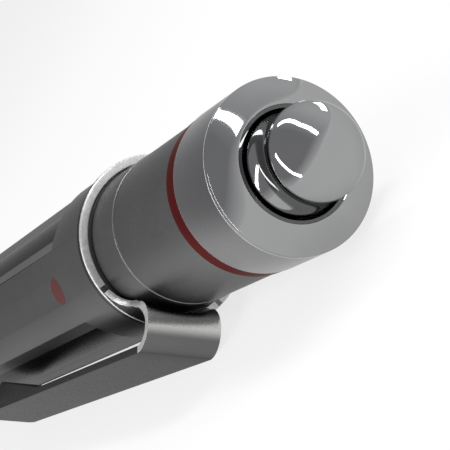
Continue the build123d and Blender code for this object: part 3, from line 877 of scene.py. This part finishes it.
class PEN_OT_barrel(bpy.types.Operator):
    """Barrel with three long flats that end in sloping shoulders, and its enamel dot"""

    bl_idname = "pen.barrel"
    bl_label = "Barrel"

    def execute(self, context):
        s, made = sizes(), finishes()
        low, high = start_of("barrel"), end_of("barrel")
        radius = radius_of("nose_cone") + s.nose_step
        skirt = high - s.skirt_length
        outline = rounded(
            [
                (low, s.barrel_bore, 0),
                (skirt, s.barrel_bore, 0),
                (skirt, radius - s.head_wall, 0),
                (high, radius - s.head_wall, 0),
                (high, radius, s.edge),
                (low, radius, s.blunt),
            ]
        )
        barrel = turned("barrel_milled", outline, steps=180)
        depth = radius - s.flat
        for turn in range(3):
            flat_end = high - s.flat_start
            cutter = extruded(
                "flat_cutter",
                [
                    (low + s.land + s.shoulder, s.flat),
                    (low + s.land - s.shoulder, radius + depth),
                    (flat_end + 2 * s.shoulder, radius + depth),
                    (flat_end, s.flat),
                ],
                radius,
            )
            turn_to(cutter, clip_turn() + turn * math.tau / 3)
            combine(barrel, cutter, "DIFFERENCE")
        drill = self.round_block("dot_cutter", s.dot_r, radius - s.dot_depth, radius + depth)
        combine(barrel, drill, "DIFFERENCE")
        soften(barrel, s.flat_edge)
        finish_piece(barrel, [made["satin_grey"]], BODY, "barrel")
        dot = self.round_block(
            "index_dot_filled", s.dot_r - s.dot_play, radius - s.dot_depth, radius + depth
        )
        skin = turned("dot_skin", [(0, 0), (high, 0), (high, radius), (0, radius)], steps=180)
        combine(dot, skin, "INTERSECT")
        shade(dot)
        finish_piece(dot, [made["dot_enamel"]], BODY, "index_dot")
        return {"FINISHED"}

    def round_block(self, name, radius, low, high):
        """A short cylinder that stands where the dot is."""
        s = sizes()
        deselect()
        bpy.ops.mesh.primitive_cylinder_add(
            vertices=64,
            radius=radius,
            depth=high - low,
            location=(RIM - s.dot_from_rim, (low + high) / 2, 0),
            rotation=(math.pi / 2, 0, 0),
        )
        block = settle(bpy.context.object, name)
        return turn_to(block, clip_turn() - math.radians(60))


class PEN_OT_nose(bpy.types.Operator):
    """Nose cone with its rounded mouth"""

    bl_idname = "pen.nose"
    bl_label = "Nose"

    def execute(self, context):
        s, made = sizes(), finishes()
        low, seat, high = start_of("nose_cone"), start_of("barrel"), end_of("nose_cone")
        radius, spigot = radius_of("nose_cone"), s.barrel_bore - s.play
        bore, mouth = spigot - s.nose_wall, s.mouth + 2 * s.play
        outline = rounded(
            [
                (low, mouth, s.blunt),
                (low, s.nose_tip, s.nose_round),
                (seat - s.nose_seat, radius, 0),
                (seat, radius, s.edge),
                (seat, spigot, 0),
                (high, spigot, s.blunt),
                (high, bore, 0),
                (low + s.nose_floor, bore, 0),
                (low + s.nose_floor, mouth, 0),
            ]
        )
        nose = turned("nose_turned", outline)
        finish_piece(
            nose, [made["satin_grey"], made["bare_edge"]], BODY, "nose_cone"
        )
        paint(nose, 1, lambda spot, n: spot.x - low < s.bright_rim and off_axis(spot) < s.nose_tip)
        return {"FINISHED"}


# --- clip --------------------------------------------------------------------------------------


class PEN_OT_clip(bpy.types.Operator):
    """Sheet clip: a ring, a tongue that folds back over itself, and a long strip; the clip foot
    operator adds its foot
    """

    bl_idname = "pen.clip"
    bl_label = "Clip"

    def execute(self, context):
        s, made = sizes(), finishes()
        sheet = self.folded_sheet()
        ring_r = -FLOOR
        face = end_of("barrel")
        step = start_of("clip_washer")
        lip = step + s.ring_height
        skirt = start_of("clip")
        skirt_r = radius_of("nose_cone") + s.nose_step - s.head_wall
        bore = skirt_r - s.skirt_wall
        outline = rounded(
            [
                (skirt, bore, 0),
                (skirt, skirt_r - s.play, 0),
                (face, skirt_r - s.play, 0),
                (face, ring_r, s.edge),
                (lip, ring_r, s.lip_edge),
                (lip, s.lip_bore, s.lip_edge),
                (step, s.lip_bore, 0),
                (step, bore, 0),
            ]
        )
        ring_piece = turned("clip_ring", outline)
        for name in ("clip_satin", "bare_edge"):
            ring_piece.data.materials.append(made[name])
        paint(ring_piece, 1, lambda spot, n: spot.x > step and off_axis(spot) > s.lip_bore)
        turn_to(sheet, clip_turn())
        clip = combine(ring_piece, sheet, "UNION")
        clip.name = clip.data.name = "clip_folded"
        shade(clip, 40)
        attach(clip, BODY)
        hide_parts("clip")
        return {"FINISHED"}

    def folded_sheet(self):
        """The sheet, laid out as a grid whose rows run down its length and round its fold, then
        thickened.
        """
        s = sizes()
        half, roll = s.clip_width / 2, s.lip_bore + s.tongue_rise
        edge_height = math.sqrt(roll**2 - half**2)
        root = start_of("clip_washer") - s.root_depth
        sweep_x = root + s.root_land + s.root_fillet
        bend_x = RIM - s.bend_front - s.bend_r
        bend_y = s.clip_reach - s.bend_r
        rows = []
        tongue_steps, bend_steps, strip_steps = 12, 28, 16
        for step in range(tongue_steps + 1):
            x = root + (bend_x - root) * step / tongue_steps
            near = max(0.0, sweep_x - max(x, root + s.root_land))
            flare = s.root_fillet - math.sqrt(s.root_fillet**2 - near**2)
            rise = smooth((x - sweep_x) / (bend_x - sweep_x))
            y = edge_height + (bend_y - s.bend_r - edge_height) * rise
            rows.append(((x, y), (0, -1), 1.0, half + flare))
        for step in range(1, bend_steps + 1):
            angle = -math.pi / 2 + math.pi * step / bend_steps
            out = (math.cos(angle), math.sin(angle))
            spot = (bend_x + s.bend_r * out[0], bend_y + s.bend_r * out[1])
            rows.append((spot, out, 1 - smooth((angle / math.pi + 0.5) * 2.2), half))
        strip_end = RIM - s.clip_end
        corner = s.end_round / (bend_x - strip_end)
        places = [step / strip_steps for step in range(1, strip_steps)]
        places += [1 - near * corner for near in (1, 0.8, 0.6, 0.42, 0.27, 0.15, 0.06, 0.015, 0)]
        for along in places:
            spot = (bend_x + (strip_end - bend_x) * along, s.clip_reach - s.clip_fall * along)
            rows.append((spot, (0, 1), 0.0, half))
        deselect()
        columns = 24
        bpy.ops.mesh.primitive_grid_add(
            x_subdivisions=len(rows) - 1, y_subdivisions=columns, size=1, location=(0, 0, 0)
        )
        sheet = settle(bpy.context.object, "clip_sheet")
        for name in ("clip_satin", "bare_edge"):
            sheet.data.materials.append(finishes()[name])
        for vertex in sheet.data.vertices:
            row = round((vertex.co.x + 0.5) * (len(rows) - 1))
            across = vertex.co.y * 2
            (x, y), out, dish, width = rows[row]
            z = across * width
            left = (x - strip_end) / s.end_round
            if left < 1:
                inset = s.end_round * (1 - math.sqrt(max(0.0, 1 - (1 - left) ** 2)))
                z = across * (width - inset)
            sag = dish * (math.sqrt(max(0.0, roll**2 - z**2)) - edge_height)
            vertex.co = (x - out[0] * sag, y - out[1] * sag, z)
        face_outwards(sheet)
        middle = max(sheet.data.polygons, key=lambda face: face.center.y)
        outward = 1 if middle.normal.y > 0 else -1
        wall = sheet.modifiers.new("wall", "SOLIDIFY")
        wall.thickness = s.sheet
        wall.offset = -outward
        wall.material_offset_rim = 1
        wall.use_even_offset = True
        apply_modifiers(sheet)
        if outward < 0:
            face_outwards(sheet)
        soften(sheet, s.sheet_edge, 40)
        # The strip keeps the satin; only the bevels along its inner edges get the lighter bare-edge
        # colour, a painted highlight line.
        paint(sheet, 0, lambda spot, n: spot.x < bend_x)
        paint(sheet, 1, lambda spot, n: spot.x < bend_x and n.y < -0.2 and 0.2 < abs(n.z) < 0.95)
        return sheet


def smooth(value):
    """Eases from 0 to 1 as the value goes from 0 to 1."""
    value = min(1.0, max(0.0, value))
    return value * value * (3 - 2 * value)


class PEN_OT_clip_foot(bpy.types.Operator):
    """Long wedge under the clip's free end"""

    bl_idname = "pen.clip_foot"
    bl_label = "Clip foot"

    def execute(self, context):
        s = sizes()
        clip = bpy.data.objects["clip_folded"]
        heel = RIM - s.clip_end + s.foot_setback
        top = s.clip_reach - s.clip_fall - s.sheet / 2
        low = s.flat + s.foot_gap
        outline = rounded(
            [(heel, top, 0), (heel, low, s.foot_round), (heel + s.foot_length, top, 0)]
        )
        foot = extruded("clip_foot", outline, s.foot_width / 2)
        soften(foot, s.sheet_edge, 40)
        turn_to(foot, clip_turn())
        foot.data.materials.append(finishes()["clip_satin"])
        combine(clip, foot, "UNION")
        shade(clip, 40)
        return {"FINISHED"}


# --- brush and pad -----------------------------------------------------------------------------


class PEN_OT_brush(bpy.types.Operator):
    """Tuft of soft hairs, rounded at its tip"""

    bl_idname = "pen.brush"
    bl_label = "Brush"

    def execute(self, context):
        s, made = sizes(), finishes()
        tip, root, radius = start_of("bristles"), end_of("bristles"), radius_of("bristles")
        strand = self.strand()
        random.seed(7)
        strands = []
        golden = math.pi * (3 - math.sqrt(5))
        for number in range(s.hair_count):
            share = math.sqrt((number + 0.5) / s.hair_count)
            place = share * (radius - s.tuft_edge)
            angle = number * golden
            dome = radius * (1 - math.sqrt(1 - share**2))
            front = tip + dome + random.uniform(0, s.tuft_rough)
            hair = strand.copy()
            hair.data = strand.data.copy()
            bpy.context.collection.objects.link(hair)
            long = root - front
            lean = random.uniform(-s.hair_lean, s.hair_lean)
            for vertex in hair.data.vertices:
                along = vertex.co.x
                gathered = 1 - TUFT_GATHER * (1 - along)
                spread = place * gathered + lean * along * along * (1 - share)
                vertex.co.x = root - along * long
                vertex.co.y += spread * math.cos(angle)
                vertex.co.z += spread * math.sin(angle)
            strands.append(hair)
        deselect()
        strand.select_set(True)
        bpy.ops.object.delete()
        for hair in strands:
            hair.select_set(True)
        bpy.context.view_layer.objects.active = strands[0]
        bpy.ops.object.join()
        tuft = bpy.context.object
        tuft.name = tuft.data.name = "bristle_tuft"
        shade(tuft, 60)
        finish_piece(tuft, [made["brush_hair"]], CARRIER, "bristles")
        return {"FINISHED"}

    def strand(self):
        """One hair from root (x = 0) to tip (x = 1), with a fine point."""
        deselect()
        bpy.ops.mesh.primitive_cylinder_add(
            vertices=4,
            radius=sizes().hair_r,
            depth=1,
            location=(0.5, 0, 0),
            rotation=(0, math.pi / 2, 0),
        )
        strand = settle(bpy.context.object, "hair")
        bpy.ops.object.mode_set(mode="EDIT")
        for place in (0.35, 0.7, 0.92):
            bpy.ops.mesh.select_all(action="SELECT")
            bpy.ops.mesh.bisect(plane_co=(place, 0, 0), plane_no=(1, 0, 0))
        bpy.ops.object.mode_set(mode="OBJECT")
        for vertex in strand.data.vertices:
            thin = 1 if vertex.co.x < 0.8 else 0.75 if vertex.co.x < 0.95 else 0.2
            vertex.co.y *= thin
            vertex.co.z *= thin
        return strand


class PEN_OT_pad(bpy.types.Operator):
    """Cleaning pad under the button's head, slightly hollow to fit a lens"""

    bl_idname = "pen.pad"
    bl_label = "Cleaning pad"

    def execute(self, context):
        s, made = sizes(), finishes()
        low, high = start_of("cleaning_pad"), end_of("cleaning_pad")
        radius, hollow, edge = radius_of("cleaning_pad"), s.pad_hollow, s.pad_edge
        outline = [(low, 0), (low, radius)]
        outline += rounded(
            [
                (low, radius, 0),
                (high, radius, s.blunt),
                (high - hollow / 3, radius - s.pad_slope, 0),
            ]
        )[1:-1]
        steps = 12
        for step in range(1, steps + 1):
            share = 1 - step / steps
            outline.append((high - hollow * (1 - share**2), (radius - edge) * share))
        pad = turned("pad_moulded", outline, closed=False, steps=96)
        finish_piece(pad, [made["felt_face"]], PLUNGER, "cleaning_pad")
        return {"FINISHED"}


class PEN_OT_springs(bpy.types.Operator):
    """Return spring and button spring, each a wire wound round the pen's axis"""

    bl_idname = "pen.springs"
    bl_label = "Springs"

    def execute(self, context):
        s, made = sizes(), finishes()
        for node, wire, turns in (
            ("return_spring", s.wire, s.return_turns),
            ("button_spring", s.light_wire, s.button_turns),
        ):
            coil = self.coil(f"{node}_wound", node, wire, turns)
            finish_piece(coil, [made["steel_turned"]], BODY, node)
            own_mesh(coil)
        return {"FINISHED"}

    def coil(self, name, node, wire, turns):
        """A wire's round section, screwed round the pen's axis and closed at its ends."""
        low, high = start_of(node), end_of(node)
        deselect()
        bpy.ops.mesh.primitive_circle_add(
            vertices=12,
            radius=wire / 2,
            location=(low + wire / 2, radius_of(node) - wire / 2, 0),
        )
        obj = settle(bpy.context.object, name)
        screw = obj.modifiers.new("screw", "SCREW")
        screw.axis = "X"
        screw.steps = screw.render_steps = 36
        screw.iterations = turns
        screw.screw_offset = (high - low - wire) / turns
        apply_modifiers(obj)
        take(obj)
        bpy.ops.object.mode_set(mode="EDIT")
        bpy.ops.mesh.select_all(action="SELECT")
        bpy.ops.mesh.fill_holes(sides=0)
        bpy.ops.object.mode_set(mode="OBJECT")
        face_outwards(obj)
        shade(obj, 40)
        return obj


class PEN_OT_inner(bpy.types.Operator):
    """Finishes of the inner pieces, which keep the frame's shapes"""

    bl_idname = "pen.inner"
    bl_label = "Inner pieces"

    def execute(self, context):
        made = finishes()
        coats = {
            "nylon_moulding": ("nose_bushing", "brush_holder", "tip_holder"),
            "acetal_moulding": ("cam_housing", "cam_plunger", "cam_rotor"),
            "turned_brass": ("threaded_insert",),
            "steel_turned": ("button_stem", "push_rod", "stop_clip"),
            "nickel_tube": ("brush_ferrule",),
            "set_resin": ("brush_plug",),
            "rubber_ring": ("grip_ring",),
        }
        for finish, nodes in coats.items():
            for name in nodes:
                node = NODES[name]
                if not node.material_slots:
                    node.data.materials.append(made[finish])
                for slot in node.material_slots:
                    slot.material = made[finish]
        return {"FINISHED"}


# --- stage -------------------------------------------------------------------------------------


# Bearings of the corners of each row of strip lamps, seen from the rim: degrees from +X towards +Y,
# and degrees above the floor.
LAMPS = {
    "right_arch": ((25, 10), (38, 43), (84, 61), (139, 59)),
    "left_arch": ((-62, -1), (-74, 15), (-88, 36), (-123, 56)),
    "low_strip": ((80, 6), (112, 6)),
}


class PEN_OT_stage(bpy.types.Operator):
    """White floor, soft studio lamps and the camera"""

    bl_idname = "pen.stage"
    bl_label = "Stage"

    def execute(self, context):
        stage = bpy.context.scene.pen_stage
        deselect()
        bpy.ops.mesh.primitive_plane_add(size=6, location=(0, 0, FLOOR))
        floor = bpy.context.object
        floor.name = "floor"
        floor.data.materials.append(self.floor_finish(stage.floor))
        self.world()
        self.camera(stage)
        self.lamps(stage)
        bpy.context.scene.view_settings.view_transform = "Standard"
        return {"FINISHED"}

    def seen(self, tree):
        """1 where the floor shows as background: to camera, glossy and transmission rays."""
        path = tree.nodes.new("ShaderNodeLightPath")
        total = path.outputs["Is Camera Ray"]
        for name in ("Is Glossy Ray", "Is Transmission Ray"):
            add = tree.nodes.new("ShaderNodeMath")
            add.operation = "MAXIMUM"
            tree.links.new(total, add.inputs[0])
            tree.links.new(path.outputs[name], add.inputs[1])
            total = add.outputs["Value"]
        return total

    def floor_finish(self, colour):
        material = bpy.data.materials.new("floor_card")
        material.use_nodes = True
        tree = material.node_tree
        shader = tree.nodes["Principled BSDF"]
        shader.inputs["Base Color"].default_value = (*colour, 1)
        shader.inputs["Roughness"].default_value = 0.9
        shader.inputs["Specular IOR Level"].default_value = 0.1
        noise = tree.nodes.new("ShaderNodeTexNoise")
        noise.inputs["Scale"].default_value = 900
        bump = tree.nodes.new("ShaderNodeBump")
        bump.inputs["Distance"].default_value = 0.02 * MM
        tree.links.new(noise.outputs["Fac"], bump.inputs["Height"])
        tree.links.new(bump.outputs["Normal"], shader.inputs["Normal"])
        glow = tree.nodes.new("ShaderNodeEmission")
        glow.inputs["Strength"].default_value = 1
        mix = tree.nodes.new("ShaderNodeMixShader")
        factor = tree.nodes.new("ShaderNodeMath")
        factor.operation = "MULTIPLY"
        factor.inputs[1].default_value = FLOOR_GLOW
        tree.links.new(self.seen(tree), factor.inputs[0])
        tree.links.new(factor.outputs["Value"], mix.inputs["Fac"])
        tree.links.new(shader.outputs["BSDF"], mix.inputs[1])
        tree.links.new(glow.outputs["Emission"], mix.inputs[2])
        tree.links.new(mix.outputs["Shader"], tree.nodes["Material Output"].inputs["Surface"])
        return material

    def world(self):
        world = bpy.data.worlds.new("studio")
        bpy.context.scene.world = world
        world.use_nodes = True
        tree = world.node_tree
        room = tree.nodes["Background"]
        room.inputs["Strength"].default_value = 1
        place = tree.nodes.new("ShaderNodeTexCoord")
        split = tree.nodes.new("ShaderNodeSeparateXYZ")
        stage = bpy.context.scene.pen_stage
        side = self.ramp(tree, (0.2, stage.room), (0.9, stage.bright_side))
        low = self.ramp(tree, (0.0, stage.low_room), (0.5, (0, 0, 0)))
        brighter = tree.nodes.new("ShaderNodeVectorMath")
        brighter.operation = "MAXIMUM"
        tree.links.new(place.outputs["Generated"], split.inputs["Vector"])
        tree.links.new(split.outputs["Y"], side.inputs["Fac"])
        tree.links.new(split.outputs["Z"], low.inputs["Fac"])
        tree.links.new(side.outputs["Color"], brighter.inputs[0])
        tree.links.new(low.outputs["Color"], brighter.inputs[1])
        tree.links.new(brighter.outputs["Vector"], room.inputs["Color"])

    def ramp(self, tree, *stops):
        node = tree.nodes.new("ShaderNodeValToRGB")
        for end, (position, tone) in zip(node.color_ramp.elements, stops):
            end.position = position
            end.color = (*tone, 1)
        return node

    def axes(self, stage):
        """The camera's right, up and back directions."""
        a, e, r = (math.radians(v) for v in (stage.azimuth, stage.elevation, stage.roll))
        level = Vector((math.cos(a), math.sin(a), 0))
        back = Vector((math.sin(a) * math.cos(e), -math.cos(a) * math.cos(e), math.sin(e)))
        upright = back.cross(level)
        right = level * math.cos(r) + upright * math.sin(r)
        return right, back.cross(right), back

    def camera(self, stage):
        right, up, back = self.axes(stage)
        aim = Vector((RIM, 0, 0)) + Vector(stage.aim)
        turn = Matrix((right, up, back)).transposed()
        bpy.ops.object.camera_add(
            location=aim + back * stage.distance, rotation=turn.to_euler("XYZ")
        )
        camera = bpy.context.object
        camera.data.lens = stage.lens
        camera.data.sensor_width = 36
        camera.data.clip_start = 5 * MM
        bpy.context.scene.camera = camera

    def lamps(self, stage):
        """Two arches of strip lamps, one on each side of the button, and a low strip."""
        middle = Vector((RIM, 0, 0))
        for name, bearings in LAMPS.items():
            ends = [middle + heading(*bearing) * stage.lamp_distance for bearing in bearings]
            for number, (first, last) in enumerate(zip(ends, ends[1:])):
                along = (last - first).normalized()
                centre = (first + last) / 2
                out = centre - middle
                out = (out - along * out.dot(along)).normalized()
                turn = Matrix((along, out.cross(along), out)).transposed()
                bpy.ops.object.light_add(
                    type="AREA", location=centre, rotation=turn.to_euler("XYZ")
                )
                lamp = bpy.context.object
                lamp.name = f"{name}_{number}"
                lamp.data.shape = "RECTANGLE"
                lamp.data.size = (last - first).length
                lamp.data.size_y = stage.lamp_width
                area = lamp.data.size * lamp.data.size_y
                lamp.data.energy = stage.lamp_brightness * math.pi * area


def heading(azimuth, elevation):
    """The direction at an angle from +X towards +Y, and an angle above the floor, in degrees."""
    a, e = math.radians(azimuth), math.radians(elevation)
    return Vector((math.cos(a) * math.cos(e), math.sin(a) * math.cos(e), math.sin(e)))


class PEN_PT_sidebar(bpy.types.Panel):
    """Lists the pen's pieces in the sidebar"""

    bl_idname = "PEN_PT_sidebar"
    bl_label = "Lens cleaning pen"
    bl_space_type = "VIEW_3D"
    bl_region_type = "UI"
    bl_category = "Lens pen"

    def draw(self, context):
        layout = self.layout
        for group in (context.scene.pen_sizes, context.scene.pen_colours, context.scene.pen_stage):
            box = layout.box()
            for name in group.__annotations__:
                box.prop(group, name)
        for operator in OPERATORS:
            layout.operator(operator.bl_idname)


OPERATORS = (
    PEN_OT_bezel,
    PEN_OT_button,
    PEN_OT_rings,
    PEN_OT_barrel,
    PEN_OT_nose,
    PEN_OT_clip,
    PEN_OT_clip_foot,
    PEN_OT_brush,
    PEN_OT_pad,
    PEN_OT_springs,
    PEN_OT_inner,
    PEN_OT_stage,
)
GROUPS = {"pen_sizes": PenSizes, "pen_colours": PenColours, "pen_stage": PenStage}


def register():
    for name, group in GROUPS.items():
        bpy.utils.register_class(group)
        setattr(bpy.types.Scene, name, bpy.props.PointerProperty(type=group))
    for operator in OPERATORS:
        bpy.utils.register_class(operator)
    bpy.utils.register_class(PEN_PT_sidebar)


def unregister():
    bpy.utils.unregister_class(PEN_PT_sidebar)
    for operator in reversed(OPERATORS):
        bpy.utils.unregister_class(operator)
    for name, group in reversed(GROUPS.items()):
        delattr(bpy.types.Scene, name)
        bpy.utils.unregister_class(group)


def main():
    register()
    bpy.ops.pen.bezel()
    bpy.ops.pen.button()
    bpy.ops.pen.rings()
    bpy.ops.pen.barrel()
    bpy.ops.pen.nose()
    bpy.ops.pen.clip()
    bpy.ops.pen.clip_foot()
    bpy.ops.pen.brush()
    bpy.ops.pen.pad()
    bpy.ops.pen.springs()
    bpy.ops.pen.inner()
    bpy.ops.pen.stage()


if __name__ == "__main__":
    main()
